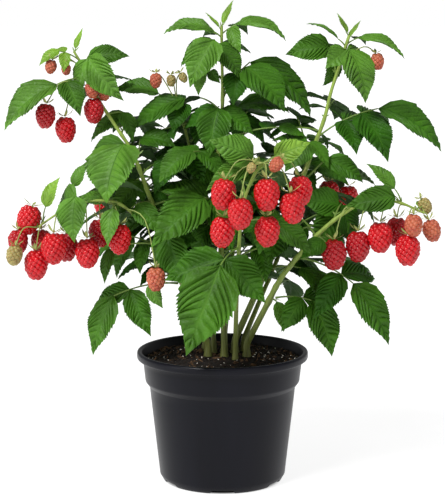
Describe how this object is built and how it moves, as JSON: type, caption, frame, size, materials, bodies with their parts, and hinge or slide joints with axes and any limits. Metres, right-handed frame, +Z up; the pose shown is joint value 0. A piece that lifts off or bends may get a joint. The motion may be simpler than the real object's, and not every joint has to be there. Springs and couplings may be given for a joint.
{
  "type": "potted raspberry plant",
  "caption": "Fruiting raspberry plant in a round black nursery pot: leafy canes from one clump, compound leaves, and trusses of red berries with a few unripe ones.",
  "frame": {"origin": "middle of the pot's flat underside, on the ground it stands on", "axes": "+Z up; -Y is the front, the side with the front truss of fruit; +X is the viewer's right"},
  "size_m": [0.472, 0.3535, 0.5308],
  "materials": {
    "pot_plastic": "satin black, moulded",
    "compost": "moist, crumbly",
    "cane_bark": "green bark, browner at the foot",
    "leaf_green": "soft, pleated leaves"
  },
  "bodies": {
    "root": {"bough_left": "cane_bark", "cane_back": "cane_bark", "cane_back_left": "cane_bark", "cane_back_right": "cane_bark", "cane_centre": "cane_bark", "cane_front": "cane_bark", "cane_left": "cane_bark", "cane_left_centre": "cane_bark", "cane_right": "cane_bark", "cane_right_front": "cane_bark", "compost": "compost", "crown_back": "leaf_green", "crown_back_left": "leaf_green", "crown_back_right": "leaf_green", "crown_bough_left": "leaf_green", "crown_centre": "leaf_green", "crown_front": "leaf_green", "crown_left": "leaf_green", "crown_left_centre": "leaf_green", "crown_right": "leaf_green", "crown_right_front": "leaf_green", "leaf_centre_1": "leaf_green", "leaf_centre_2": "leaf_green", "leaf_centre_3": "leaf_green", "leaf_centre_4": "leaf_green", "leaf_centre_5": "leaf_green", "leaf_centre_6": "leaf_green", "leaf_front_1": "leaf_green", "leaf_front_2": "leaf_green", "leaf_left_1": "leaf_green", "leaf_left_10": "leaf_green", "leaf_left_2": "leaf_green", "leaf_left_3": "leaf_green", "leaf_left_4": "leaf_green", "leaf_left_5": "leaf_green", "leaf_left_6": "leaf_green", "leaf_left_7": "leaf_green", "leaf_left_8": "leaf_green", "leaf_left_9": "leaf_green", "leaf_left_centre_1": "leaf_green", "leaf_left_centre_2": "leaf_green", "leaf_left_centre_3": "leaf_green", "leaf_right_1": "leaf_green", "leaf_right_2": "leaf_green", "leaf_right_3": "leaf_green", "leaf_right_4": "leaf_green", "leaf_right_5": "leaf_green", "leaf_right_6": "leaf_green", "leaf_right_7": "leaf_green", "leaf_right_8": "leaf_green", "leaf_right_9": "leaf_green", "leaf_right_front_1": "leaf_green", "leaf_right_front_2": "leaf_green", "leaf_right_front_3": "leaf_green", "leaf_right_front_4": "leaf_green", "leaf_right_front_5": "leaf_green", "leaf_right_front_6": "leaf_green", "leaf_right_front_7": "leaf_green", "pot": "pot_plastic"}
  },
  "joints": []
}
